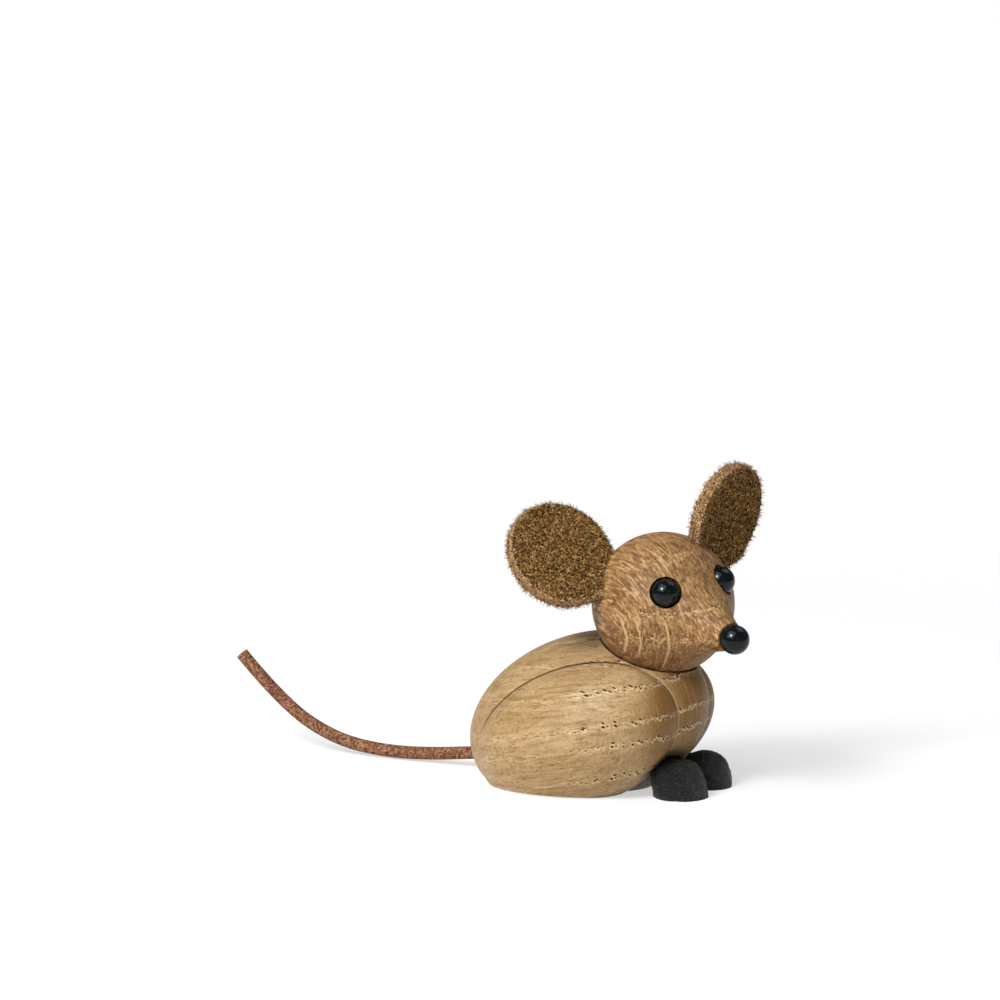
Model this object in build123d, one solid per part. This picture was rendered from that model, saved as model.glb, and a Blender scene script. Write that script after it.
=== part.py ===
from build123d import *
from math import cos, radians, sin, sqrt, tan
import os

os.makedirs("parts", exist_ok=True)

# Frame: the body faces -Y, its left side is +X, and it stands on the plane z = 0.
# All lengths are millimetres and all angles are degrees.

# Torso: an egg with three different half axes, tipped so that the chest is high.
torso_half_width = 15.9
torso_half_length = 25.1
torso_half_height = 16.6
torso_pitch = 20.9
torso_height = 11.75

# Haunches: one bulge on each side, which meets the torso along a sharp crease.
haunch_half_width = 12.8
haunch_half_length = 21.35
haunch_half_height = 13.65
haunch_pitch = 23.15
haunch_side = 8.0
haunch_forward = 1.6
haunch_height = 10.55

# Softened lower edge: a wide egg, larger than the body by these margins, trims its foot.
sole_side_margin = 0.9
sole_end_margin = 4.0
sole_half_height = 3.2
sole_backward = 2.5
sole_height = 2.2

# Head: a ball turned about the snout axis, with a hollow flare running out to the snout.
# The snout length is how far the cut end stands in front of the ball.
head_radius = 13.6
head_turn = 28.2
head_nod = 8.8
head_lean = 3.2
flare_start = 44.0
snout_length = 7.2
snout_radius = 2.8

# Dish in the shoulders, square to the torso's surface, and the dowel that the head turns on.
dish_angle = 41.8
dish_depth = 6.6
dish_gap = 0.3
neck_radius = 2.5
neck_run_gap = 0.05
neck_depth_in_head = 7.6
neck_depth_in_body = 8.1

# Beads: each one is a ball with a flat back and a thin shank, the eyes set by hand in drilled seats.
eye_radius = 2.75
eyes = {
    "right": {"turn": -36.2, "rise": 28.8, "depth": 0.8},
    "left": {"turn": 34.7, "rise": 30.0, "depth": 0.8},
}
eye_rim_gap = 0.3
nose_radius = 2.8
bead_seat = 1.6
shank_radius = 0.9
shank_length = 3.2

# Ears: thick round leather plates with a straight root and a tab glued into a slot.
# Turn and rise say where the root sits on the ball, and depth how far it is sunk there.
# Face and outward are directions in the head's own frame: left, backward, up.
ear_radius = 10.45
ear_thickness = 2.4
ear_tab_half_width = 3.3
ear_tab_depth = 2.6
ear_slot_end_gap = 0.5
ears = {
    "right": {"turn": -115.7, "rise": 26.1, "depth": 2.0, "root_reach": 10.8, "root_half_width": 4.2,
              "face": (-0.096, -0.706, 0.703), "outward": (-0.756, 0.512, 0.41)},
    "left": {"turn": 89.6, "rise": 28.0, "depth": 0.0, "root_reach": 8.9, "root_half_width": 7.2,
             "face": (0.314, -0.948, -0.074), "outward": (0.185, -0.012, 0.982)},
}

# Feet: carved eggs with a flat sole, under the overhanging chest, each on its own dowel.
# The chest gap is how far a foot's middle stands in front of the torso, less its half length.
foot_half_width = 5.2
feet_made = {
    "right": {"side": -5.35, "chest_gap": 2.2, "height": 2.0,
              "half_length": 4.85, "half_height": 6.4, "lean": 43.2},
    "left": {"side": 5.15, "chest_gap": 3.5, "height": 1.3,
             "half_length": 5.0, "half_height": 5.5, "lean": 5.0},
}
foot_dowel_radius = 1.2
foot_dowel_start = 1.0
foot_dowel_length = 9.0
foot_dowel_slope = 45.0

# Tail: a stiff leather cord along hand-chosen points, as (backward, up) pairs.
tail_radius = 1.25
tail_points = [(15.8, 4.15), (30.0, 2.0), (44.5, 1.2), (56.0, 3.05), (66.7, 9.15), (75.3, 17.85)]
tail_arc_share = 0.45


def egg(half_axes, pitch, centre):
    """An ellipsoid tipped about the X axis."""
    return Pos(*centre) * Rot(X=-pitch) * scale(Sphere(1), by=half_axes)


def direction(turn, rise):
    """A unit vector in the head's frame: turned to the left of the snout, then raised."""
    turn, rise = radians(turn), radians(rise)
    return Vector(sin(turn) * cos(rise), -cos(turn) * cos(rise), sin(rise))


def torso_reach(side, up):
    """How far the torso's surface lies in front of its centre, at a side offset and a height."""
    slope, rise = radians(torso_pitch), up - torso_height
    # Terms of the ellipse equation in the forward distance: square, linear and constant.
    square = (cos(slope) / torso_half_length) ** 2 + (sin(slope) / torso_half_height) ** 2
    linear = sin(slope) * cos(slope) * rise * (torso_half_length ** -2 - torso_half_height ** -2)
    constant = ((side / torso_half_width) ** 2 + (sin(slope) * rise / torso_half_length) ** 2
                + (cos(slope) * rise / torso_half_height) ** 2 - 1)
    return (sqrt(linear ** 2 - square * constant) - linear) / square


def rod(start, direction, length, radius):
    """A round rod that runs from a start point along a direction."""
    return Plane(origin=start, z_dir=direction) * Cylinder(
        radius, length, align=(Align.CENTER, Align.CENTER, Align.MIN))


def bead(centre, outward, radius):
    """A ball with a flat back and a shank, facing outward."""
    place = Plane(origin=centre, z_dir=outward)
    ball = Sphere(radius) & Pos(0, 0, -bead_seat) * Box(
        4 * radius, 4 * radius, 4 * radius, align=(Align.CENTER, Align.CENTER, Align.MIN))
    return place * ball + rod(centre - outward * (bead_seat + shank_length), outward,
                              shank_length, shank_radius)


# Head in its own frame, where the snout points along -Y.
snout_reach = head_radius + snout_length
flare_angle = radians(flare_start)
flare_point = (head_radius * sin(flare_angle), -head_radius * cos(flare_angle))
snout_point = (snout_radius, -snout_reach)
ball_arc = ThreePointArc((0, head_radius), (head_radius, 0), flare_point)
flare_arc = TangentArc(flare_point, snout_point, tangent=(-cos(flare_angle), -sin(flare_angle)))
snout_middle = (0, -snout_reach)
snout_end = Line(snout_point, snout_middle)
middle_line = Line(snout_middle, (0, head_radius))
head = revolve(make_face([ball_arc, flare_arc, snout_end, middle_line]), Axis.Y)

snout = Vector(0, -1, 0)
beads = {"nose": bead(snout * (snout_reach + bead_seat), snout, nose_radius)}
head -= beads["nose"]
for name, eye in eyes.items():
    outward = direction(eye["turn"], eye["rise"])
    centre = outward * (head_radius - eye["depth"])
    beads["eye_" + name] = bead(centre, outward, eye_radius)
    head -= beads["eye_" + name]
    head -= rod(centre - outward * bead_seat, outward, 2 * eye_radius, eye_radius + eye_rim_gap)

ear_solids = {}
for name, ear in ears.items():
    outward = Vector(*ear["outward"]).normalized()
    reach = ear["root_reach"]
    root_middle = direction(ear["turn"], ear["rise"]) * (head_radius - ear["depth"])
    place = Plane(origin=root_middle + outward * reach, x_dir=outward, z_dir=Vector(*ear["face"]))
    root = Line((-reach, -ear["root_half_width"]), (-reach, ear["root_half_width"]))
    outline = make_hull(Circle(ear_radius).edges() + root.edges())
    tab = Pos(-reach, 0) * Rectangle(2 * ear_tab_depth, 2 * ear_tab_half_width)
    plate = place * extrude(outline + tab, ear_thickness / 2, both=True)
    ear_solids[name] = plate
    head -= plate
    for side in (-1, 1):
        end = place.from_local_coords(Vector(-reach - ear_tab_depth, side * ear_tab_half_width, 0))
        head -= rod(end, place.x_dir, 2 * ear_tab_depth, ear_thickness / 2 + ear_slot_end_gap)

# Placing of the head on the body: over a point of the torso's middle outline, square to it,
# then turned to the right, nodding and leaning a little.
angle = radians(dish_angle)
torso_place = Pos(0, 0, torso_height) * Rot(X=-torso_pitch)
dish_point = torso_place * Pos(0, -torso_half_length * cos(angle), torso_half_height * sin(angle))
dish_normal = Vector(0, -cos(angle) / torso_half_length, sin(angle) / torso_half_height)
turn_axis = dish_normal.rotate(Axis.X, -torso_pitch).normalized()
head_centre = dish_point.position + turn_axis * (head_radius + dish_gap - dish_depth)
head_place = Pos(*head_centre) * Rot(Z=-head_turn) * Rot(X=head_nod) * Rot(Y=-head_lean)
neck_bottom = head_radius + dish_gap + neck_depth_in_body
neck_length = neck_depth_in_body + dish_gap + neck_depth_in_head
neck_dowel = rod(head_centre - turn_axis * neck_bottom, turn_axis, neck_length, neck_radius)
head = head_place * head - neck_dowel

# Feet and their dowels
block = 4 * torso_half_length
below_floor = Box(block, block, block, align=(Align.CENTER, Align.CENTER, Align.MAX))
foot_rise = Vector(0, cos(radians(foot_dowel_slope)), sin(radians(foot_dowel_slope)))
feet = {}
foot_dowels = {}
for name, foot in feet_made.items():
    forward = torso_reach(foot["side"], foot["height"]) + foot["chest_gap"] + foot["half_length"]
    spot = Vector(foot["side"], -forward, foot["height"])
    half_axes = (foot_half_width, foot["half_length"], foot["half_height"])
    feet[name] = egg(half_axes, foot["lean"], spot) - below_floor
    foot_dowels[name] = rod(spot + foot_rise * foot_dowel_start, foot_rise,
                            foot_dowel_length, foot_dowel_radius)

# Tail: every arc takes the same share of the shorter of its two runs.
route = [Vector(0, *point) for point in tail_points]
runs = [(b - a) for a, b in zip(route, route[1:])]
arc_radii = []
for before, after in zip(runs, runs[1:]):
    half_turn = radians(before.get_angle(after)) / 2
    arc_radii.append(tail_arc_share * min(before.length, after.length) / tan(half_turn))
tail_line = FilletPolyline(*route, radius=arc_radii)
tail_section = Plane(origin=route[0], z_dir=runs[0]) * Circle(tail_radius)
tail = sweep(tail_section, tail_line)
print("tail arc radii", [round(radius, 1) for radius in arc_radii])
print("tail volume", round(tail.volume, 1))
print("tail section times length", round(tail_section.area * tail_line.length, 1))

# Body
torso = egg((torso_half_width, torso_half_length, torso_half_height), torso_pitch, (0, 0, torso_height))
haunches = [egg((haunch_half_width, haunch_half_length, haunch_half_height), haunch_pitch,
                (side * haunch_side, -haunch_forward, haunch_height)) for side in (-1, 1)]
sole_half_width = haunch_side + haunch_half_width + sole_side_margin
sole_half_length = torso_half_length + sole_end_margin
sole = egg((sole_half_width, sole_half_length, sole_half_height), 0, (0, sole_backward, sole_height))
body = torso + haunches - below_floor
rim_block = Box(block, block, sole_height, align=(Align.CENTER, Align.CENTER, Align.MIN))
body -= rim_block - sole
body -= Pos(*head_centre) * Sphere(head_radius + dish_gap)
body -= rod(head_centre - turn_axis * neck_bottom, turn_axis, neck_bottom, neck_radius + neck_run_gap)
body -= tail
for name in ("right", "left"):
    body -= feet[name]
    body -= foot_dowels[name]
    feet[name] -= foot_dowels[name]

pieces = {
    "body": body,
    "head": head,
    "neck_dowel": neck_dowel,
    "ear_right": ear_solids["right"],
    "ear_left": ear_solids["left"],
    "eye_right": beads["eye_right"],
    "eye_left": beads["eye_left"],
    "nose": beads["nose"],
    "tail": tail,
    "foot_right": feet["right"],
    "foot_left": feet["left"],
    "foot_dowel_right": foot_dowels["right"],
    "foot_dowel_left": foot_dowels["left"],
}
for name, piece in pieces.items():
    if name.startswith(("ear_", "eye_", "nose")):
        piece = head_place * piece
    print(name, round(piece.volume, 1), len(piece.solids()), [round(value, 2) for value in piece.center()])
    export_step(piece, f"parts/{name}.step")
print("turn axis", head_centre, turn_axis)
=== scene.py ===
import math

import bpy
from mathutils import Matrix, Vector, noise


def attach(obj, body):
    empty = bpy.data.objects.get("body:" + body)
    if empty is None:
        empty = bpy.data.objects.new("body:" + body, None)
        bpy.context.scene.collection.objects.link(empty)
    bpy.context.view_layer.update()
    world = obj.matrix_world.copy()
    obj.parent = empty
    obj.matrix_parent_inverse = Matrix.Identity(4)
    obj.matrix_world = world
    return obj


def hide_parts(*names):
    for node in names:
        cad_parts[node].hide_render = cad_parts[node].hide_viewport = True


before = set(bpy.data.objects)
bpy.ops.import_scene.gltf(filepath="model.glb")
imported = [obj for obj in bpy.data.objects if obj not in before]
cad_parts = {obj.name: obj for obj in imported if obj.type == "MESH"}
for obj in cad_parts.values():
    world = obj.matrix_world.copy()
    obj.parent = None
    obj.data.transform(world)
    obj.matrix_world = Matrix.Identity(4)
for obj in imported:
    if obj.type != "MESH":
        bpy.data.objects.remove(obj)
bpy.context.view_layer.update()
mm = 0.001
perMetre = 1000  # millimetres

# Where the photograph was taken from: a far camera with a long lens, a little above the floor.
view = {
    "place": (-1.06868, -0.50077, 0.26833),
    "right": (0.4373, -0.8993, 0.0),
    "up": (0.1603, 0.0780, 0.9840),
    "back": (-0.8849, -0.4303, 0.1783),
    "lens": 226.8, "sensor": 36, "nearest": 0.05, "farthest": 20,
}


def turned(degrees, axis):
    return Matrix.Rotation(math.radians(degrees), 4, axis)


# The head's own frame on the body, as in the CAD model: where its ball is and how it is turned
headPose = {
    "middle": (0, -15.4951, 35.793), "ballRadius": 13.6, "turn": -28.2, "nod": 8.8, "lean": -3.2,
}
headCentre = Vector(headPose["middle"]) * mm
headTurn = turned(headPose["turn"], "Z") @ turned(headPose["nod"], "X") @ turned(headPose["lean"], "Y")
headPlace = Matrix.Translation(headCentre) @ headTurn


# Small helpers for node trees and meshes


def setInputs(tree, node, inputs):
    for key, value in inputs.items():
        if isinstance(value, bpy.types.NodeSocket):
            tree.links.new(value, node.inputs[key])
        else:
            node.inputs[key].default_value = value


def addNode(tree, kind, inputs=None, **settings):
    node = tree.nodes.new(kind)
    for key, value in settings.items():
        setattr(node, key, value)
    setInputs(tree, node, inputs or {})
    return node


def mathNode(tree, operation, first, second=0.0, third=0.0):
    node = addNode(tree, "ShaderNodeMath", {0: first, 1: second, 2: third}, operation=operation)
    return node.outputs[0]


def plus(tree, first, second):
    return mathNode(tree, "ADD", first, second)


def times(tree, first, second):
    return mathNode(tree, "MULTIPLY", first, second)


def timesPlus(tree, value, factor, more):
    return mathNode(tree, "MULTIPLY_ADD", value, factor, more)


def minus(tree, first, second):
    return mathNode(tree, "SUBTRACT", first, second)


def larger(tree, first, second):
    return mathNode(tree, "MAXIMUM", first, second)


def absolute(tree, value):
    return mathNode(tree, "ABSOLUTE", value)


def vectorMath(tree, operation, first, second=None, **more):
    # LENGTH and DOT_PRODUCT give a number, all else gives a vector
    inputs = {0: first}
    if second is not None:
        inputs[1] = second
    inputs.update(more)
    node = addNode(tree, "ShaderNodeVectorMath", inputs, operation=operation)
    return node.outputs["Value" if operation in ("LENGTH", "DOT_PRODUCT") else "Vector"]


def along(tree, vector, normal):
    # What is left of a vector when the part that stands along the normal is taken off
    height = vectorMath(tree, "DOT_PRODUCT", vector, normal)
    lift = vectorMath(tree, "SCALE", normal, Scale=height)
    return vectorMath(tree, "SUBTRACT", vector, lift)


def fade(tree, value, low, high, toLow=0.0, toHigh=1.0):
    node = addNode(
        tree, "ShaderNodeMapRange",
        {"Value": value, "From Min": low, "From Max": high, "To Min": toLow, "To Max": toHigh},
        interpolation_type="SMOOTHSTEP", clamp=True,
    )
    return node.outputs["Result"]


def mixColour(tree, factor, first, second):
    # In colour mode the mix node takes its colours at inputs 6 and 7 and gives its own at output 2
    node = addNode(tree, "ShaderNodeMix", data_type="RGBA")
    for socket, value in ((node.inputs[0], factor), (node.inputs[6], first), (node.inputs[7], second)):
        if isinstance(value, bpy.types.NodeSocket):
            tree.links.new(value, socket)
        elif isinstance(value, (int, float)):
            socket.default_value = value
        else:
            socket.default_value = (*value, 1.0)
    return node.outputs[2]


def stretched(tree, vector, stretch):
    if isinstance(stretch, (int, float)):
        stretch = (stretch, stretch, stretch)
    return vectorMath(tree, "MULTIPLY", vector, stretch)


def noiseOf(tree, vector, stretch, detail=2.0, roughness=0.5, distortion=0.0):
    node = addNode(
        tree, "ShaderNodeTexNoise",
        {"Vector": stretched(tree, vector, stretch), "Scale": 1.0,
         "Detail": detail, "Roughness": roughness, "Distortion": distortion},
    )
    return node.outputs["Fac"]


def noisesOf(tree, vector, patterns):
    return {name: noiseOf(tree, vector, **pattern) for name, pattern in patterns.items()}


def layColours(tree, colour, noises, layers, look):
    # Lays colours over one another. A layer is a noise's name, where it starts and is full, its share
    # and its colour. The share is a number or the name of one in the look.
    for name, start, full, share, paint in layers:
        mask = fade(tree, noises[name], start, full, 0.0, look.get(share, share))
        colour = mixColour(tree, mask, colour, look[paint])
    return colour


def bumped(tree, relief, strength, height):
    bump = addNode(tree, "ShaderNodeBump", {"Strength": strength, "Distance": height, "Height": relief})
    return bump.outputs[0]


def newMaterial(name):
    material = bpy.data.materials.new(name)
    material.use_nodes = True
    tree = material.node_tree
    tree.nodes.clear()
    output = addNode(tree, "ShaderNodeOutputMaterial")
    shader = addNode(tree, "ShaderNodeBsdfPrincipled")
    tree.links.new(shader.outputs[0], output.inputs[0])
    return material, tree, shader


def objectPlace(tree):
    return addNode(tree, "ShaderNodeTexCoord").outputs["Object"]


def inMillimetres(tree):
    return stretched(tree, objectPlace(tree), perMetre)


def addPiece(name, mesh, body, material):
    piece = bpy.data.objects.new(name, mesh)
    bpy.context.scene.collection.objects.link(piece)
    mesh.materials.clear()
    mesh.materials.append(material)
    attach(piece, body)
    return piece


def dress(node, material):
    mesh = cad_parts[node].data
    mesh.materials.clear()
    mesh.materials.append(material)


def plainMesh(source):
    # Turns what an object's modifiers make into a mesh of its own, and removes the object
    bpy.context.view_layer.update()
    finished = source.evaluated_get(bpy.context.evaluated_depsgraph_get())
    mesh = bpy.data.meshes.new_from_object(finished)
    bpy.data.objects.remove(source)
    return mesh


def roughen(mesh, look):
    # Pushes every corner out or in by two layers of noise
    normals = [vert.normal.copy() for vert in mesh.vertices]
    for vert, normal in zip(mesh.vertices, normals):
        spot = vert.co / mm
        lump = noise.noise(spot * look["lumpScale"]) * look["lump"]
        nap = noise.noise(spot * look["napScale"]) * look["nap"]
        vert.co += normal * (lump + nap) * mm
    mesh.shade_smooth()


# Camera, light and floor

studio = {
    "key": {"place": (-0.62, 0.20, 0.76), "size": 1.0, "power": 6.8},
    "top": {"place": (0.42, -0.24, 0.76), "size": 0.50, "power": 1.0},
    "glint": {"place": (-0.71, 0.17, 0.68), "size": 0.30, "power": 8.0},
    "fill": {"place": (-0.75, -0.75, 0.35), "size": 0.6, "power": 0.3},
    "aim": (0, 0, 0.02), "white": (1, 1, 1, 1), "skyStrength": 0.22,
    "floorHalf": 1.5, "floorColour": (0.95, 0.95, 0.955, 1), "floorRoughness": 0.8,
    "floorWhite": 0.54, "fadeFrom": 0.06, "fadeTo": 0.26,
}


def makeCamera():
    camera = bpy.data.objects.new("camera", bpy.data.cameras.new("camera"))
    bpy.context.scene.collection.objects.link(camera)
    turn = Matrix((view["right"], view["up"], view["back"])).transposed()
    camera.matrix_world = Matrix.Translation(view["place"]) @ turn.to_4x4()
    camera.data.sensor_width = view["sensor"]
    camera.data.lens = view["lens"]
    camera.data.clip_start = view["nearest"]
    camera.data.clip_end = view["farthest"]
    bpy.context.scene.camera = camera


def addLamp(name):
    look = studio[name]
    lamp = bpy.data.objects.new(name + "Lamp", bpy.data.lights.new(name + "Lamp", "AREA"))
    bpy.context.scene.collection.objects.link(lamp)
    lamp.data.shape = "RECTANGLE"
    lamp.data.size = look["size"]
    lamp.data.size_y = look["size"]
    lamp.data.energy = look["power"]
    lamp.location = look["place"]
    shining = Vector(studio["aim"]) - Vector(look["place"])
    lamp.rotation_euler = shining.to_track_quat("-Z", "Y").to_euler()


def makeSky():
    # Bright where the camera looks at it, weaker as a light
    world = bpy.data.worlds.new("sky")
    bpy.context.scene.world = world
    world.use_nodes = True
    tree = world.node_tree
    tree.nodes.clear()
    path = addNode(tree, "ShaderNodeLightPath")
    seen = larger(tree, path.outputs["Is Camera Ray"], path.outputs["Is Transmission Ray"])
    strength = fade(tree, seen, 0.0, 1.0, studio["skyStrength"], 1.0)
    sky = addNode(tree, "ShaderNodeBackground", {"Color": studio["white"], "Strength": strength})
    output = addNode(tree, "ShaderNodeOutputWorld")
    tree.links.new(sky.outputs[0], output.inputs[0])


def makeFloor():
    # Plain near the object, fading into the white backdrop further out
    half = studio["floorHalf"]
    mesh = bpy.data.meshes.new("floor")
    corners = [(-half, -half, 0), (half, -half, 0), (half, half, 0), (-half, half, 0)]
    mesh.from_pydata(corners, [], [(0, 1, 2, 3)])
    floor = bpy.data.objects.new("floor", mesh)
    bpy.context.scene.collection.objects.link(floor)
    material, tree, shader = newMaterial("floorPaint")
    setInputs(tree, shader, {
        "Base Color": studio["floorColour"],
        "Roughness": studio["floorRoughness"],
        "Specular IOR Level": 0.0,
    })
    distance = vectorMath(tree, "LENGTH", objectPlace(tree))
    path = addNode(tree, "ShaderNodeLightPath")
    seen = larger(tree, path.outputs["Is Camera Ray"], path.outputs["Is Glossy Ray"])
    far = fade(tree, distance, studio["fadeFrom"], studio["fadeTo"], studio["floorWhite"], 1.0)
    white = addNode(tree, "ShaderNodeEmission", {"Color": studio["white"], "Strength": 1.0})
    share = times(tree, seen, far)
    mixed = addNode(tree, "ShaderNodeMixShader", {0: share, 1: shader.outputs[0], 2: white.outputs[0]})
    output = next(node for node in tree.nodes if node.type == "OUTPUT_MATERIAL")
    tree.links.new(mixed.outputs[0], output.inputs[0])
    mesh.materials.append(material)


makeCamera()
for lampName in ("key", "top", "glint", "fill"):
    addLamp(lampName)
makeSky()
makeFloor()
bpy.context.scene.view_settings.view_transform = "Standard"
print("studio done")

# Oak: one block frame for the body and one for the head.
# In a block's frame X is across the rays, Y is along the grain and Z is across the growth rings, in mm.
# Rows are the heights of the rows of pores, between low and high. Sheets are rays that show: where
# across the block, from and to which height, and how strong.

lightOak = {
    "name": "lightOak", "place": (0, 0, 0.0118), "turn": (math.radians(-10.5), 0, 0),
    "rows": (-9.1, -2.9, 0.9, 7.1, 12.0, 16.0), "rowWidth": 0.75, "low": -16.0, "high": 24.0,
    "pale": (0.430, 0.295, 0.150), "middle": (0.330, 0.208, 0.088), "dark": (0.165, 0.076, 0.014),
    "pore": (0.022, 0.010, 0.002), "fleck": (0.640, 0.480, 0.260),
    "sheets": (), "rayShare": 0.16, "mottle": 0.15, "jagged": 0.12,
    "endGrainAndShade": 0.90, "endLines": 0.30, "lowDark": 0.0, "roughness": 0.38, "shine": 0.27,
    "poreSize": 0.23, "poresFrom": 1.0, "poresFull": -10.0, "poresElsewhere": 0.36, "ridge": 0.5,
}
headGrain = {"swing": -2.5, "tip": -12.5}  # the block lies a little askew in the head
headBlock = headTurn @ turned(headGrain["swing"], "Z") @ turned(headGrain["tip"], "Y")
smokedOak = {
    "name": "smokedOak", "place": tuple(headCentre), "turn": tuple(headBlock.to_euler("XYZ")),
    "rows": (-9.5, -0.5, 4.4, 11.9), "rowWidth": 0.75, "low": -16.0, "high": 16.0,
    "pale": (0.375, 0.212, 0.082), "middle": (0.262, 0.132, 0.045), "dark": (0.095, 0.036, 0.009),
    "pore": (0.022, 0.009, 0.003), "fleck": (0.610, 0.400, 0.190),
    "sheets": (
        (-12.4, -4.6, 3.2, 0.55), (-10.95, -4.4, 3.6, 0.65),
        (-7.15, -7.6, 3.4, 0.75), (-2.6, 9.0, 13.0, 0.4),
    ),
    "rayShare": 0.30, "mottle": 0.66, "jagged": 0.68,
    "endGrainAndShade": 0.15, "endLines": 0.2, "lowDark": 0.52, "roughness": 0.46, "shine": 0.22,
    "poreSize": 0.16, "poresFrom": -2.0, "poresFull": -9.0, "poresElsewhere": 0.5, "ridge": 0.25,
}

# Noises in both oaks: how closely each varies across the rays, along the grain and across the rings
woodPatterns = {
    "wander": {"stretch": (0.07, 0.05, 0.05), "detail": 1.0},
    "wobble": {"stretch": (0.5, 0.25, 0.4)},
    "bands": {"stretch": (0.12, 0.03, 0.42), "detail": 3.0, "roughness": 0.6},
    "streaks": {"stretch": (0.9, 0.05, 1.7), "detail": 3.0, "roughness": 0.6},
    "fibres": {"stretch": (3.2, 0.30, 3.6), "detail": 3.0, "roughness": 0.65},
    "grain": {"stretch": (8.0, 1.6, 8.0), "roughness": 0.7},
    "patches": {"stretch": (0.9, 0.25, 0.35), "detail": 5.0, "roughness": 0.70, "distortion": 0.5},
    "jags": {"stretch": (3.2, 0.42, 0.85), "detail": 4.0, "roughness": 0.68, "distortion": 0.7},
    "hatching": {"stretch": (1.2, 5.0, 0.9), "roughness": 0.6},
    "rays": {"stretch": (1.9, 0.10, 0.16), "distortion": 0.2},
    "rayEnds": {"stretch": (4.2, 0.1, 0.16)},
    "groups": {"stretch": (0.12, 0.16, 0.35), "detail": 1.0},
    "breaks": {"stretch": (0.30, 0.36, 0.22)},
}
woodLayers = (
    ("bands", 0.34, 0.66, 1.0, "pale"),
    ("streaks", 0.50, 0.68, 0.55, "dark"),
    ("streaks", 0.46, 0.32, 0.45, "pale"),
    ("fibres", 0.52, 0.72, 0.75, "dark"),
    ("fibres", 0.42, 0.28, 0.40, "fleck"),
    ("patches", 0.46, 0.60, "mottle", "dark"),
    ("jags", 0.51, 0.58, "jagged", "dark"),
    ("jags", 0.46, 0.39, "jagged", "fleck"),
    ("hatching", 0.55, 0.70, 0.30, "dark"),
    ("hatching", 0.45, 0.32, 0.18, "fleck"),
    ("grain", 0.40, 0.75, 0.35, "dark"),
    ("rays", 0.62, 0.72, "rayShare", "fleck"),
)

# Values of both oaks. A pair says where a mask starts and is full, and two more numbers are its ends.
# Wander, wobble and sway are how far the rings stray slowly, how far quickly, and how far the rays do.
woodLook = {
    "wander": 2.2, "wobble": 0.9, "sway": 0.5,
    "endGrainAndShadeFacing": (0.45, 0.92), "endLinesFacing": (0.30, 0.75),
    "poresFacing": (0.80, 0.97, 1.0, 0.6), "rayEnds": (0.52, 0.66),
    "lowHeight": (3.0, -6.0), "lowFibres": (0.38, 0.56, 0.4, 1.0),
    "sheetWidth": (0.19, 0.04), "sheetOverrun": 0.8, "sheetInset": 1.2,
    "groups": (0.54, 0.60), "breaks": (0.40, 0.50, 0.25, 1.0), "rowEdge": 1.1,
    "looseCells": (2.6, 0.50, 2.8), "looseSize": (0.30, 0.16), "looseChance": (0.88, 0.92),
    "ridgeWidth": (0.30, 0.06), "ridgeFibres": (0.56, 0.46), "ridgeStreaks": (0.52, 0.44),
    "rimShare": 0.60, "looseShare": 0.55, "poreShare": 0.95,
    "depths": {"grain": -0.20, "fibres": -0.30, "loose": -0.40, "pores": -1.2}, "jagDepth": -0.6,
    "bump": 0.55, "bumpHeight": 0.00025, "roughFibres": (0.3, 0.7), "roughSpread": 0.14,
}

# Pores: each row holds strings of round dots, one dot to a cell of its string.
# Slope is how a string's number grows across, along and up the block.
# A string is its height in the row and the number where it starts.
# A dot and its rim are a drop, as a share of the pore size, and the reach where they start and are full.
poreLook = {
    "slope": (-1.25, -0.46, 0.30), "strings": ((-0.22, 0.0), (0.24, 31.4)),
    "uneven": 0.9, "flatten": 0.75, "smallest": 0.08, "spread": 1.5, "scatter": 0.45,
    "dot": (0.0, 1.0, 0.55), "rim": (1.1, 1.8, 1.0),
}


def rowFinder(tree, height, oak):
    # A ramp that tells how far above the middle of a row a place is, and whether it is in a row
    span = oak["high"] - oak["low"]
    share = addNode(
        tree, "ShaderNodeMapRange",
        {"Value": height, "From Min": oak["low"], "From Max": oak["high"]}, clamp=True,
    ).outputs["Result"]
    ramp = addNode(tree, "ShaderNodeValToRGB", {"Fac": share})
    elements = ramp.color_ramp.elements
    elements[0].position, elements[1].position = 0.0, 1.0
    elements[0].color = elements[1].color = (0, 0, 0, 1)
    width, edge = oak["rowWidth"], woodLook["rowEdge"]
    for row in oak["rows"]:
        for offset, side, level in ((-edge, 0, 0), (-1, 0, 1), (1, 1, 1), (edge, 1, 0)):
            element = elements.new((row + offset * width - oak["low"]) / span)
            element.color = (side, level, 0, 1)
    found = addNode(tree, "ShaderNodeSeparateColor", {0: ramp.outputs["Color"]})
    offset = times(tree, minus(tree, found.outputs[0], 0.5), 2 * width)
    return offset, found.outputs[1]


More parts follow.
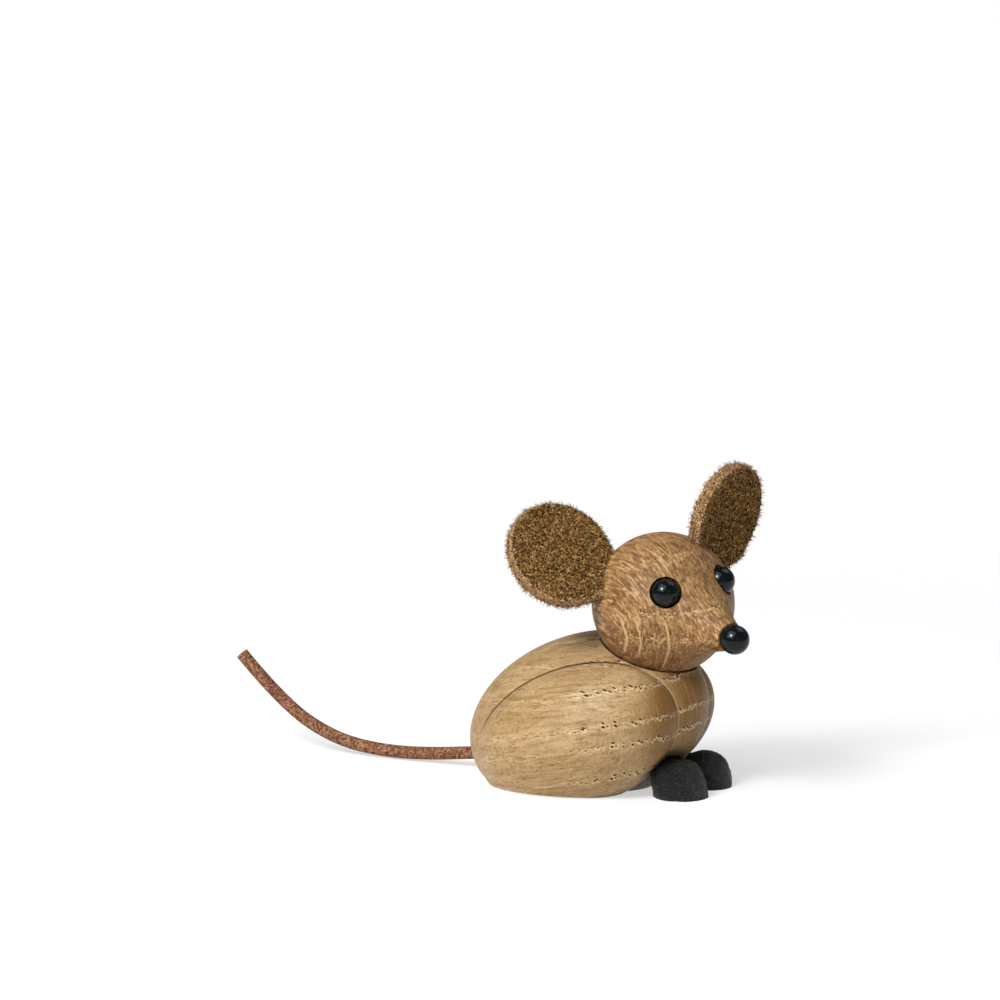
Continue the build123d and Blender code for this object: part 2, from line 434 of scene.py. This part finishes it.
def poreDots(tree, split, offset, inRow, poreSize):
    # Dots and their pale rims, alike on both sides of the block
    smallest, spread = poreLook["smallest"] * poreSize, poreLook["spread"] * poreSize
    across, grain, up = poreLook["slope"]
    string = times(tree, absolute(tree, split.outputs["X"]), across)
    string = timesPlus(tree, split.outputs["Y"], grain, string)
    string = timesPlus(tree, split.outputs["Z"], up, string)
    masks = {"dot": 0.0, "rim": 0.0}
    for shift, start in poreLook["strings"]:
        cells = addNode(
            tree, "ShaderNodeTexVoronoi",
            {"W": plus(tree, string, start), "Scale": 1.0, "Randomness": poreLook["uneven"]},
            voronoi_dimensions="1D",
        )
        chance = addNode(tree, "ShaderNodeSeparateColor", {0: cells.outputs["Color"]})
        side = times(tree, cells.outputs["Distance"], poreLook["flatten"])
        size = timesPlus(tree, chance.outputs[0], spread, smallest)
        level = plus(tree, offset, shift)
        level = timesPlus(tree, minus(tree, chance.outputs[1], 0.5), poreLook["scatter"], level)
        for part in masks:
            drop, outer, inner = poreLook[part]
            rise = plus(tree, level, drop * poreSize)
            squares = timesPlus(tree, side, side, times(tree, rise, rise))
            reach = mathNode(tree, "DIVIDE", mathNode(tree, "SQRT", squares), size)
            mask = times(tree, fade(tree, reach, outer, inner), inRow)
            masks[part] = larger(tree, masks[part], mask)
    return masks["dot"], masks["rim"]


def sheetMask(tree, across, height, oak):
    # Pale streaks where chosen rays are cut by the surface
    overrun, inset = woodLook["sheetOverrun"], woodLook["sheetInset"]
    total = 0.0
    for where, low, high, strength in oak["sheets"]:
        off = absolute(tree, minus(tree, across, where))
        mask = fade(tree, off, *woodLook["sheetWidth"], 0.0, strength)
        mask = times(tree, mask, fade(tree, height, low - overrun, low + inset))
        mask = times(tree, mask, fade(tree, height, high + overrun, high - inset))
        total = larger(tree, total, mask)
    return total


def loosePores(tree, block):
    # A few small pores outside the rows
    spread = stretched(tree, block, woodLook["looseCells"])
    cells = addNode(tree, "ShaderNodeTexVoronoi", {"Vector": spread, "Scale": 1.0})
    chance = addNode(tree, "ShaderNodeSeparateColor", {0: cells.outputs["Color"]}).outputs[0]
    size = fade(tree, cells.outputs["Distance"], *woodLook["looseSize"])
    return times(tree, size, fade(tree, chance, *woodLook["looseChance"]))


def makeOak(oak, crease=None):
    material, tree, shader = newMaterial(oak["name"])
    coordinates = addNode(tree, "ShaderNodeTexCoord")
    block = addNode(
        tree, "ShaderNodeMapping",
        {"Vector": coordinates.outputs["Object"], "Location": oak["place"], "Rotation": oak["turn"],
         "Scale": (mm, mm, mm)},
        vector_type="TEXTURE",
    ).outputs[0]
    split = addNode(tree, "ShaderNodeSeparateXYZ", {0: block})
    noises = noisesOf(tree, block, woodPatterns)

    # Growth rings and rays wander a little along the block
    wander = minus(tree, noises["wander"], 0.5)
    wobble = minus(tree, noises["wobble"], 0.5)
    height = timesPlus(tree, wander, woodLook["wander"], split.outputs["Z"])
    height = timesPlus(tree, wobble, woodLook["wobble"], height)
    across = timesPlus(tree, wobble, woodLook["sway"], split.outputs["X"])
    offset, inRow = rowFinder(tree, height, oak)

    # How squarely the surface cuts the grain: the front of a block drinks more stain, and its darkening
    # there also carries painted shade
    grainway = addNode(
        tree, "ShaderNodeMapping", {"Vector": coordinates.outputs["Normal"], "Rotation": oak["turn"]},
        vector_type="TEXTURE",
    ).outputs[0]
    front = times(tree, addNode(tree, "ShaderNodeSeparateXYZ", {0: grainway}).outputs["Y"], -1.0)

    # Bands, streaks, fibres, flames and rays, then the dark low part, the sheets and the end grain with its
    # painted shade
    colour = layColours(tree, oak["middle"], noises, woodLayers, oak)
    low = fade(tree, height, *woodLook["lowHeight"], 0.0, oak["lowDark"])
    low = times(tree, low, fade(tree, noises["fibres"], *woodLook["lowFibres"]))
    colour = mixColour(tree, low, colour, oak["dark"])
    colour = mixColour(tree, sheetMask(tree, across, height, oak), colour, oak["fleck"])
    # Darker where the grain ends at the surface: partly stain that end grain drinks, partly painted shade on
    # the chest
    endGrainAndShade = fade(tree, front, *woodLook["endGrainAndShadeFacing"], 0.0, oak["endGrainAndShade"])
    colour = mixColour(tree, endGrainAndShade, colour, oak["dark"])

    # The cut ends of rays are fine pale lines where the grain meets the surface head-on
    ends = fade(tree, noises["rayEnds"], *woodLook["rayEnds"])
    ends = times(tree, ends, fade(tree, front, *woodLook["endLinesFacing"], 0.0, oak["endLines"]))
    colour = mixColour(tree, ends, colour, oak["pale"])

    # Pores lie close together toward the front and in short groups elsewhere
    groups = fade(tree, noises["groups"], *woodLook["groups"], 0.0, oak["poresElsewhere"])
    dense = fade(tree, split.outputs["Y"], oak["poresFrom"], oak["poresFull"])
    dense = times(tree, dense, fade(tree, noises["breaks"], *woodLook["breaks"]))
    pored = times(tree, inRow, larger(tree, dense, groups))
    pores, rims = poreDots(tree, split, offset, pored, oak["poreSize"])
    pores = times(tree, pores, fade(tree, front, *woodLook["poresFacing"]))
    loose = loosePores(tree, block)

    # A thin pale ridge runs along each row
    ridge = times(tree, inRow, fade(tree, absolute(tree, offset), *woodLook["ridgeWidth"]))
    ridge = times(tree, ridge, fade(tree, noises["fibres"], *woodLook["ridgeFibres"]))
    calm = fade(tree, noises["streaks"], *woodLook["ridgeStreaks"], 0.0, oak["ridge"])
    ridge = times(tree, ridge, calm)
    colour = mixColour(tree, ridge, colour, oak["fleck"])
    colour = mixColour(tree, times(tree, rims, woodLook["rimShare"]), colour, oak["fleck"])
    colour = mixColour(tree, times(tree, loose, woodLook["looseShare"]), colour, oak["pore"])
    colour = mixColour(tree, times(tree, pores, woodLook["poreShare"]), colour, oak["pore"])
    if crease:
        colour = crease(tree, coordinates, colour, oak)

    # Fibres, pores and flames are cut into the surface
    relief = times(tree, noises["jags"], woodLook["jagDepth"] * oak["jagged"])
    cuts = {**noises, "loose": loose, "pores": pores}
    for name, depth in woodLook["depths"].items():
        relief = timesPlus(tree, cuts[name], depth, relief)
    smooth, rough = oak["roughness"], oak["roughness"] + woodLook["roughSpread"]
    setInputs(tree, shader, {
        "Base Color": colour,
        "Roughness": fade(tree, noises["fibres"], *woodLook["roughFibres"], smooth, rough),
        "Specular IOR Level": fade(tree, pores, 0.0, 1.0, oak["shine"], 0.0),
        "Normal": bumped(tree, relief, woodLook["bump"], woodLook["bumpHeight"]),
    })
    return material


# The carved body: torso and haunch as tipped eggs, for the line where they meet.
# The line is dark painted shade over the back, ends low on the rump and at the chest turns into a pale edge
# of painted highlight.
# Painted shade and a painted dark reflection of each foot darken the wood around it. Sizes and places are in
# mm, and reach is a share of the egg.
carving = {
    "torso": {"half": (15.9, 25.1, 16.6), "pitch": 20.9, "middle": (0, 0, 11.75)},
    "haunch": {"half": (12.8, 21.35, 13.65), "pitch": 23.15, "middle": (8.0, -1.6, 10.55)},
    "foot": {"half": (5.2, 4.85, 6.4), "pitch": 43.2, "middle": (5.35, -21.3, 2.0)},
    "creaseShadeColour": (0.055, 0.024, 0.006), "lineFrom": 0.405, "lineFull": 0.108, "chestHighlightShare": 0.30,
    "chestAt": -18.0, "backAt": -11.0, "rumpEnd": 8.0, "rumpFull": 13.0,
    "shadeColour": (0.012, 0.010, 0.007), "shadeReach": 1.62, "shadeShare": 0.9, "shadePower": 1.6,
}


def eggDistance(tree, egg, vector):
    # How far out the place is, as a share of the egg's own size, and the way that share grows
    half = [size * mm for size in egg["half"]]
    middle = [size * mm for size in egg["middle"]]
    pitch = math.radians(-egg["pitch"])
    unit = addNode(
        tree, "ShaderNodeMapping",
        {"Vector": vector, "Location": middle, "Rotation": (pitch, 0, 0), "Scale": half},
        vector_type="TEXTURE",
    ).outputs[0]
    level = vectorMath(tree, "DIVIDE", vectorMath(tree, "NORMALIZE", unit), half)
    slope = addNode(
        tree, "ShaderNodeVectorRotate", {"Vector": level, "Angle": pitch}, rotation_type="X_AXIS"
    )
    return vectorMath(tree, "LENGTH", unit), slope.outputs[0]


def mirrorX(tree, vector):
    parts = addNode(tree, "ShaderNodeSeparateXYZ", {0: vector}).outputs
    across = absolute(tree, parts[0])
    mirrored = addNode(tree, "ShaderNodeCombineXYZ", {0: across, 1: parts[1], 2: parts[2]})
    return parts, mirrored.outputs[0]


def creaseLine(tree, coordinates, colour, oak):
    # Both sides are one: every place is read on the left
    parts, place = mirrorX(tree, coordinates.outputs["Object"])
    normal = mirrorX(tree, coordinates.outputs["Normal"])[1]
    torso, torsoSlope = eggDistance(tree, carving["torso"], place)
    haunch, haunchSlope = eggDistance(tree, carving["haunch"], place)
    gap = absolute(tree, minus(tree, torso, haunch))

    # The slope along the surface turns the gap into a distance
    slope = along(tree, vectorMath(tree, "SUBTRACT", torsoSlope, haunchSlope), normal)
    steep = vectorMath(tree, "LENGTH", slope)
    distance = mathNode(tree, "DIVIDE", gap, larger(tree, steep, 1.0))
    line = fade(tree, distance, carving["lineFrom"] * mm, carving["lineFull"] * mm)
    overBack = fade(tree, parts[1], carving["chestAt"] * mm, carving["backAt"] * mm)
    overRump = fade(tree, parts[2], carving["rumpEnd"] * mm, carving["rumpFull"] * mm)
    # Painted shade: a dark line along the crease over the back
    back = times(tree, times(tree, line, overBack), overRump)
    # Painted highlight: a pale line along the crease edge at the chest
    chest = times(tree, times(tree, line, minus(tree, 1.0, overBack)), carving["chestHighlightShare"])
    # Painted shade and a painted dark reflection of the black foot on the wood next to it
    shade = eggDistance(tree, carving["foot"], place)[0]
    shade = fade(tree, shade, carving["shadeReach"], 1.0, 0.0, carving["shadeShare"])
    shade = mathNode(tree, "POWER", shade, carving["shadePower"])
    colour = mixColour(tree, chest, colour, oak["fleck"])
    colour = mixColour(tree, back, colour, carving["creaseShadeColour"])
    return mixColour(tree, shade, colour, carving["shadeColour"])


dress("body", makeOak(lightOak, creaseLine))
dress("head", makeOak(smokedOak))
print("oak done")

# Dowels: plain pale wood, hidden in the neck and the feet

dowelLook = {
    "pale": (0.62, 0.45, 0.27), "dark": (0.50, 0.34, 0.19),
    "fibres": {"stretch": (2.5, 0.4, 0.4), "detail": 3.0, "roughness": 0.6},
    "bump": 0.3, "bumpHeight": 0.0001, "roughness": 0.6,
}


def makeDowelWood():
    material, tree, shader = newMaterial("dowelWood")
    fibres = noiseOf(tree, inMillimetres(tree), **dowelLook["fibres"])
    setInputs(tree, shader, {
        "Base Color": mixColour(tree, fibres, dowelLook["pale"], dowelLook["dark"]),
        "Roughness": dowelLook["roughness"],
        "Normal": bumped(tree, fibres, dowelLook["bump"], dowelLook["bumpHeight"]),
    })
    return material


dowelWood = makeDowelWood()
for dowel in ("neck_dowel", "foot_dowel_right", "foot_dowel_left"):
    dress(dowel, dowelWood)
print("dowels done")

# Feet: domes with steep sides, of rough black wood. Back is how far a dome leans back as it rises.

footLook = {
    "foot_right": {
        "middle": (-5.30, -21.70), "half": (5.0, 5.3), "height": 6.90,
        "steep": 0.58, "turn": 4.0, "back": 0.15,
    },
    "foot_left": {
        "middle": (5.29, -22.05), "half": (4.9, 5.2), "height": 6.66,
        "steep": 0.80, "turn": -6.0, "back": 0.0,
    },
    "lump": 0.20, "lumpScale": 0.42, "nap": 0.09, "napScale": 1.5, "rings": 60, "steps": 120,
    "black": (0.0035, 0.0037, 0.0040), "worn": (0.011, 0.0112, 0.0112), "speckAndGlint": (0.26, 0.26, 0.25),
    "roughness": 0.36, "shine": 0.42, "fineDepth": 0.45, "bump": 1.0, "bumpHeight": 0.0024,
}
footPatterns = {
    "coarse": {"stretch": (0.55, 0.38, 0.75), "detail": 5.0, "roughness": 0.68, "distortion": 1.0},
    "fine": {"stretch": (1.7, 1.2, 2.0), "detail": 3.0, "roughness": 0.7},
    "specks": {"stretch": (3.4, 2.8, 3.8), "detail": 3.0, "roughness": 0.7},
}
# The pale specks on the black wood are partly its own specks and partly painted glints
footLayers = (("coarse", 0.45, 0.70, 1.0, "worn"), ("specks", 0.60, 0.68, 0.6, "speckAndGlint"))


def makeBlackWood():
    material, tree, shader = newMaterial("blackWood")
    noises = noisesOf(tree, inMillimetres(tree), footPatterns)
    relief = timesPlus(tree, noises["fine"], footLook["fineDepth"], noises["coarse"])
    setInputs(tree, shader, {
        "Base Color": layColours(tree, footLook["black"], noises, footLayers, footLook),
        "Roughness": footLook["roughness"],
        "Specular IOR Level": footLook["shine"],
        "Normal": bumped(tree, relief, footLook["bump"], footLook["bumpHeight"]),
    })
    return material


def footDome(name, foot):
    # A dome whose rings keep nearly their full width until close to the top
    steps, rings = footLook["steps"], footLook["rings"]
    halfAcross, halfForth = foot["half"]
    turn = math.radians(foot["turn"])
    verts, faces = [], []

    def addCorner(across, forth, height):
        # The dome leans back as it rises
        forth += foot["back"] * height
        side = foot["middle"][0] + across * math.cos(turn) - forth * math.sin(turn)
        depth = foot["middle"][1] + across * math.sin(turn) + forth * math.cos(turn)
        verts.append((side * mm, depth * mm, height * mm))

    for ring in range(rings):
        angle = math.pi / 2 * ring / rings
        width = math.cos(angle) ** foot["steep"]
        height = foot["height"] * math.sin(angle) ** foot["steep"]
        for step in range(steps):
            way = 2 * math.pi * step / steps
            addCorner(halfAcross * width * math.cos(way), halfForth * width * math.sin(way), height)
    addCorner(0, 0, foot["height"])
    addCorner(0, 0, 0)
    top, base = rings * steps, rings * steps + 1
    last = top - steps
    for low in range(0, last, steps):
        high = low + steps
        for step in range(steps):
            nextStep = (step + 1) % steps
            faces.append((low + step, low + nextStep, high + nextStep, high + step))
    for step in range(steps):
        nextStep = (step + 1) % steps
        faces.append((last + step, last + nextStep, top))
        faces.append((nextStep, step, base))
    mesh = bpy.data.meshes.new(name)
    mesh.from_pydata(verts, [], faces)
    roughen(mesh, footLook)
    for vert in mesh.vertices:
        vert.co.z = max(vert.co.z, 0.0)
    return mesh


def makeFeet():
    wood = makeBlackWood()
    for node in ("foot_right", "foot_left"):
        mesh = footDome(node + "Dome", footLook[node])
        piece = addPiece(node + "Dome", mesh, "body", wood)
        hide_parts(node)


makeFeet()
print("feet done")

# Bead eyes and nose: turn and rise are the angles of a bead as seen from the middle of the ball

beads = {
    "eye_right": {"turn": -36.2, "rise": 28.8, "radius": 2.75, "from": "ball"},
    "eye_left": {"turn": 34.7, "rise": 30.0, "radius": 2.75, "from": "ball"},
    "nose": {"turn": 0.0, "rise": 0.0, "radius": 2.8, "from": "snout"},
    "seat": 1.6, "shankRadius": 0.9, "shankLength": 3.2, "rim": 0.12,
    "eyeDepth": 0.8, "snoutReach": 20.8, "steps": 72, "arcSteps": 29,
    "dark": (0.0004, 0.0022, 0.0040), "light": (0.0010, 0.0034, 0.0056), "shine": 0.27,
    "haze": (0.3, 0.7), "hazeStretch": 0.3, "smoothest": 0.05, "dullest": 0.09,
}


def towards(turn, rise):
    # A direction in the head's frame: turned to the left of the snout, then raised
    turn, rise = math.radians(turn), math.radians(rise)
    return Vector((math.sin(turn) * math.cos(rise), -math.cos(turn) * math.cos(rise), math.sin(rise)))


def makeBeadGloss():
    material, tree, shader = newMaterial("beadGloss")
    haze = noiseOf(tree, inMillimetres(tree), beads["hazeStretch"])
    setInputs(tree, shader, {
        "Base Color": mixColour(tree, fade(tree, haze, *beads["haze"]), beads["dark"], beads["light"]),
        "Roughness": fade(tree, haze, *beads["haze"], beads["smoothest"], beads["dullest"]),
        "Specular IOR Level": beads["shine"],
    })
    return material


def lathe(name, outline, place, steps):
    # Turns an outline of (radius, height) pairs round Z; a radius of zero closes the end
    verts, faces, rings = [], [], []
    for radius, height in outline:
        count = steps if radius else 1
        rings.append(range(len(verts), len(verts) + count))
        for step in range(count):
            angle = 2 * math.pi * step / steps
            verts.append(place @ Vector((radius * math.cos(angle), radius * math.sin(angle), height)))
    for lower, upper in zip(rings, rings[1:]):
        for step in range(steps):
            nextStep = (step + 1) % steps
            if len(lower) == 1:
                faces.append((lower[0], upper[nextStep], upper[step]))
            elif len(upper) == 1:
                faces.append((lower[step], lower[nextStep], upper[0]))
            else:
                faces.append((lower[step], lower[nextStep], upper[nextStep], upper[step]))
    mesh = bpy.data.meshes.new(name)
    mesh.from_pydata(verts, [], faces)
    mesh.shade_smooth()
    return mesh


def beadOutline(radius):
    # Shank, flat back with a rounded rim, then the ball
    seat, rim, shank = beads["seat"], beads["rim"], beads["shankRadius"]
    backRadius = math.sqrt(radius ** 2 - seat ** 2)
    end = -seat - beads["shankLength"]
    outline = [(0, end), (shank, end), (shank, -seat), (backRadius - rim, -seat)]
    start = -math.asin((seat - rim / 2) / radius)
    for step in range(beads["arcSteps"]):
        angle = start + (math.pi / 2 - start) * step / beads["arcSteps"]
        outline.append((radius * math.cos(angle), radius * math.sin(angle)))
    outline.append((0, radius))
    return [(width * mm, height * mm) for width, height in outline]


def makeBeads():
    gloss = makeBeadGloss()
    for name in ("eye_right", "eye_left", "nose"):
        bead = beads[name]
        outward = towards(bead["turn"], bead["rise"])
        reach = headPose["ballRadius"] - beads["eyeDepth"]
        if bead["from"] == "snout":
            reach = beads["snoutReach"] + beads["seat"]
        facing = outward.to_track_quat("Z", "Y").to_matrix().to_4x4()
        place = headPlace @ Matrix.Translation(outward * reach * mm) @ facing
        mesh = lathe(name + "Bead", beadOutline(bead["radius"]), place, beads["steps"])
        piece = addPiece(name + "Bead", mesh, "head", gloss)
        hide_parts(name)


makeBeads()
print("beads done")

# Suede and leather: dark hollows, tufts and pale tips. The ears are suede and the tail is leather.
# The edge values are for the pale rim of a cut plate: how much the tufts sway it, how far inside the
# plate's radius it starts and how far outside it is full, how strong it is and how the tips break it.

suedeLook = {
    "patches": {"stretch": 0.30},
    "tufts": {"stretch": 1.7, "detail": 3.0, "roughness": 0.65, "distortion": 0.6},
    "tips": {"stretch": 2.9, "roughness": 0.6},
    "layers": (
        ("tufts", 0.42, 0.50, 1.0, "middle"), ("tufts", 0.51, 0.58, 0.9, "tan"),
        ("tips", 0.55, 0.62, 0.7, "pale"), ("tips", 0.47, 0.39, 0.75, "dark"),
        ("patches", 0.45, 0.70, 0.30, "middle"),
    ),
    "edgeSway": 2.0, "edgeInset": 0.7, "edgeOverrun": 0.3, "edgeShare": 0.60,
    "edgeTips": (0.38, 0.58, 0.25, 1.0),
    "tipDepth": 0.6, "bump": 0.9, "bumpHeight": 0.0005, "roughness": 0.95, "shine": 0.1,
}


def cutEdge(tree, noises, centre, face, radius):
    # How near a place is to the rim of a round plate
    flat = along(tree, vectorMath(tree, "SUBTRACT", objectPlace(tree), centre), tuple(face))
    sway = minus(tree, noises["tufts"], 0.5)
    reach = timesPlus(tree, sway, suedeLook["edgeSway"] * mm, vectorMath(tree, "LENGTH", flat))
    start = (radius - suedeLook["edgeInset"]) * mm
    full = (radius + suedeLook["edgeOverrun"]) * mm
    edge = fade(tree, reach, start, full, 0.0, suedeLook["edgeShare"])
    return times(tree, edge, fade(tree, noises["tips"], *suedeLook["edgeTips"]))


def makeSuede(name, colours, rim=None, grainScale=1.0):
    material, tree, shader = newMaterial(name)
    block = inMillimetres(tree)
    fine = stretched(tree, block, grainScale)
    noises = {key: noiseOf(tree, fine, **suedeLook[key]) for key in ("tufts", "tips")}
    noises["patches"] = noiseOf(tree, block, **suedeLook["patches"])
    colour = layColours(tree, colours["dark"], noises, suedeLook["layers"], colours)
    if rim:
        # The cut edge is paler than the two faces
        colour = mixColour(tree, cutEdge(tree, noises, *rim), colour, colours["cut"])
    relief = timesPlus(tree, noises["tips"], suedeLook["tipDepth"], noises["tufts"])
    setInputs(tree, shader, {
        "Base Color": colour,
        "Roughness": suedeLook["roughness"],
        "Specular IOR Level": suedeLook["shine"],
        "Normal": bumped(tree, relief, suedeLook["bump"], suedeLook["bumpHeight"]),
    })
    return material


# Ears: thick round plates with a rough nap. Turn, rise and sunk give the root on the ball, outward and
# reach lead from there to the middle of the plate, and face is the way that the plate looks.

earLook = {
    "ear_right": {
        "turn": -115.7, "rise": 26.1, "sunk": 2.0, "reach": 10.8,
        "face": (-0.096, -0.706, 0.703), "outward": (-0.756, 0.512, 0.41),
    },
    "ear_left": {
        "turn": 89.6, "rise": 28.0, "sunk": 0.0, "reach": 8.9,
        "face": (0.314, -0.948, -0.074), "outward": (0.185, -0.012, 0.982),
    },
    "radius": 10.45, "voxel": 0.23, "weld": 0.001, "smoothing": 3,
    "lump": 0.10, "lumpScale": 1.3, "nap": 0.10, "napScale": 2.9,
    "colours": {
        "dark": (0.040, 0.016, 0.003), "middle": (0.175, 0.081, 0.015), "tan": (0.450, 0.245, 0.070),
        "pale": (0.720, 0.500, 0.250), "cut": (0.630, 0.395, 0.230),
    },
}
napLook = {
    "perSquare": 6.0, "length": 1.15, "shortest": 0.45, "lean": 62,
    "seed": 4, "leanSeed": 11, "lengthSeed": 12,
    "radius": 0.065, "bend": 0.25, "sides": 3, "taper": 0.35,
}


def roughCopy(node):
    # A voxel copy of the CAD plate, with lumps and a nap pushed out of its surface
    source = bpy.data.objects.new(node + "Rough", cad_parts[node].data.copy())
    bpy.context.scene.collection.objects.link(source)
    source.modifiers.new("weld", "WELD").merge_threshold = earLook["weld"] * mm
    remesh = source.modifiers.new("remesh", "REMESH")
    remesh.mode = "VOXEL"
    remesh.voxel_size = earLook["voxel"] * mm
    source.modifiers.new("smooth", "SMOOTH").iterations = earLook["smoothing"]
    mesh = plainMesh(source)
    roughen(mesh, earLook)
    return mesh


def makeFibre():
    # One tapered hair of unit length, bent to one side
    radius, bend, sides = napLook["radius"] * mm, napLook["bend"] * mm, napLook["sides"]
    verts, faces = [], []
    for share in (0.0, 0.5):
        width = radius * (1 - napLook["taper"] * share)
        for side in range(sides):
            angle = 2 * math.pi * side / sides
            verts.append((width * math.cos(angle) + bend * share ** 2, width * math.sin(angle), share))
    verts.append((bend, 0, 1.0))
    for side in range(sides):
        nextSide = (side + 1) % sides
        faces.append((side, nextSide, sides + nextSide, sides + side))
        faces.append((sides + side, sides + nextSide, 2 * sides))
    mesh = bpy.data.meshes.new("earFibre")
    mesh.from_pydata(verts, [], faces)
    mesh.shade_smooth()
    return bpy.data.objects.new("earFibre", mesh)


def fibreTree(name, fibre, material):
    # Fibres stand on the faces, leaning at random, and are made real at the end
    tree = bpy.data.node_groups.new(name, "GeometryNodeTree")
    sockets = {"Geometry": "Geometry", "Density": "Float", "Length": "Float", "Lean": "Float", "Seed": "Int"}
    for label, kind in sockets.items():
        tree.interface.new_socket(label, in_out="INPUT", socket_type="NodeSocket" + kind)
    tree.interface.new_socket("Geometry", in_out="OUTPUT", socket_type="NodeSocketGeometry")
    entry = addNode(tree, "NodeGroupInput").outputs
    points = addNode(
        tree, "GeometryNodeDistributePointsOnFaces",
        {"Mesh": entry["Geometry"], "Density": entry["Density"], "Seed": entry["Seed"]},
    ).outputs
    back = times(tree, entry["Lean"], -1.0)
    low = addNode(tree, "ShaderNodeCombineXYZ", {0: back, 1: back, 2: -math.pi})
    high = addNode(tree, "ShaderNodeCombineXYZ", {0: entry["Lean"], 1: entry["Lean"], 2: math.pi})
    tilt = addNode(
        tree, "FunctionNodeRandomValue",
        {0: low.outputs[0], 1: high.outputs[0], "Seed": napLook["leanSeed"]}, data_type="FLOAT_VECTOR",
    )
    leaning = addNode(
        tree, "FunctionNodeRotateRotation",
        {"Rotation": points["Rotation"], "Rotate By": tilt.outputs[0]}, rotation_space="LOCAL",
    )
    size = addNode(
        tree, "FunctionNodeRandomValue",
        {2: napLook["shortest"], 3: 1.0, "Seed": napLook["lengthSeed"]}, data_type="FLOAT",
    )
    length = times(tree, size.outputs[1], entry["Length"])
    info = addNode(tree, "GeometryNodeObjectInfo", {"Object": fibre}, transform_space="ORIGINAL")
    scale = addNode(tree, "ShaderNodeCombineXYZ", {0: 1.0, 1: 1.0, 2: length})
    placed = addNode(
        tree, "GeometryNodeInstanceOnPoints",
        {"Points": points["Points"], "Instance": info.outputs["Geometry"],
         "Rotation": leaning.outputs[0], "Scale": scale.outputs[0]},
    )
    real = addNode(tree, "GeometryNodeRealizeInstances", {0: placed.outputs[0]})
    joined = addNode(tree, "GeometryNodeJoinGeometry")
    tree.links.new(entry["Geometry"], joined.inputs[0])
    tree.links.new(real.outputs[0], joined.inputs[0])
    painted = addNode(
        tree, "GeometryNodeSetMaterial", {"Geometry": joined.outputs[0], "Material": material}
    )
    end = addNode(tree, "NodeGroupOutput")
    tree.links.new(painted.outputs[0], end.inputs[0])
    return tree


def growNap(name, mesh, fibre, material, seed):
    source = bpy.data.objects.new(name, mesh)
    bpy.context.scene.collection.objects.link(source)
    tree = fibreTree(name, fibre, material)
    modifier = source.modifiers.new("nap", "NODES")
    modifier.node_group = tree
    values = {
        "Density": napLook["perSquare"] * perMetre ** 2, "Length": napLook["length"] * mm,
        "Lean": math.radians(napLook["lean"]), "Seed": seed,
    }
    for item in tree.interface.items_tree:
        if item.in_out == "INPUT" and item.name in values:
            modifier[item.identifier] = values[item.name]
    return plainMesh(source)


def makeEars():
    fibre = makeFibre()
    for index, node in enumerate(("ear_right", "ear_left")):
        ear = earLook[node]
        root = towards(ear["turn"], ear["rise"]) * (headPose["ballRadius"] - ear["sunk"])
        centre = headPlace @ ((root + Vector(ear["outward"]).normalized() * ear["reach"]) * mm)
        face = (headTurn.to_3x3() @ Vector(ear["face"])).normalized()
        suede = makeSuede(node + "Suede", earLook["colours"], (centre, face, earLook["radius"]))
        mesh = growNap(node + "Nap", roughCopy(node), fibre, suede, napLook["seed"] + index)
        piece = addPiece(node + "Suede", mesh, "head", suede)
        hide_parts(node)
        print(piece.name, len(mesh.polygons))


makeEars()
print("ears done")

# Tail: a stiff leather cord. Each point of its route is how far back and how far up it lies, in mm.

tail = {
    "points": [(15.8, 4.15), (30.0, 2.0), (44.5, 1.2), (56.0, 3.05), (66.7, 9.15), (75.3, 17.85)],
    "radius": 1.25, "exit": (0, 0.0241, 0.0030), "length": 0.0648,
    "order": 3, "resolution": 24, "roundness": 8, "grainScale": 0.75,
    "colours": {
        "dark": (0.110, 0.042, 0.019), "middle": (0.190, 0.082, 0.042), "tan": (0.270, 0.135, 0.078),
        "pale": (0.400, 0.240, 0.150),
    },
}


def makeTail():
    leather = makeSuede("tailLeather", tail["colours"], grainScale=tail["grainScale"])
    curve = bpy.data.curves.new("tailCord", "CURVE")
    curve.dimensions = "3D"
    spline = curve.splines.new("NURBS")
    spline.points.add(len(tail["points"]) - 1)
    for point, (back, up) in zip(spline.points, tail["points"]):
        point.co = (0, back * mm, up * mm, 1)
    spline.order_u = tail["order"]
    spline.use_endpoint_u = True
    spline.resolution_u = tail["resolution"]
    curve.resolution_u = tail["resolution"]
    curve.bevel_depth = tail["radius"] * mm
    curve.bevel_resolution = tail["roundness"]
    curve.use_fill_caps = True
    piece = bpy.data.objects.new("tailCord", curve)
    bpy.context.scene.collection.objects.link(piece)
    curve.materials.append(leather)
    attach(piece, "body")
    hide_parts("tail")


makeTail()
print("tail done")
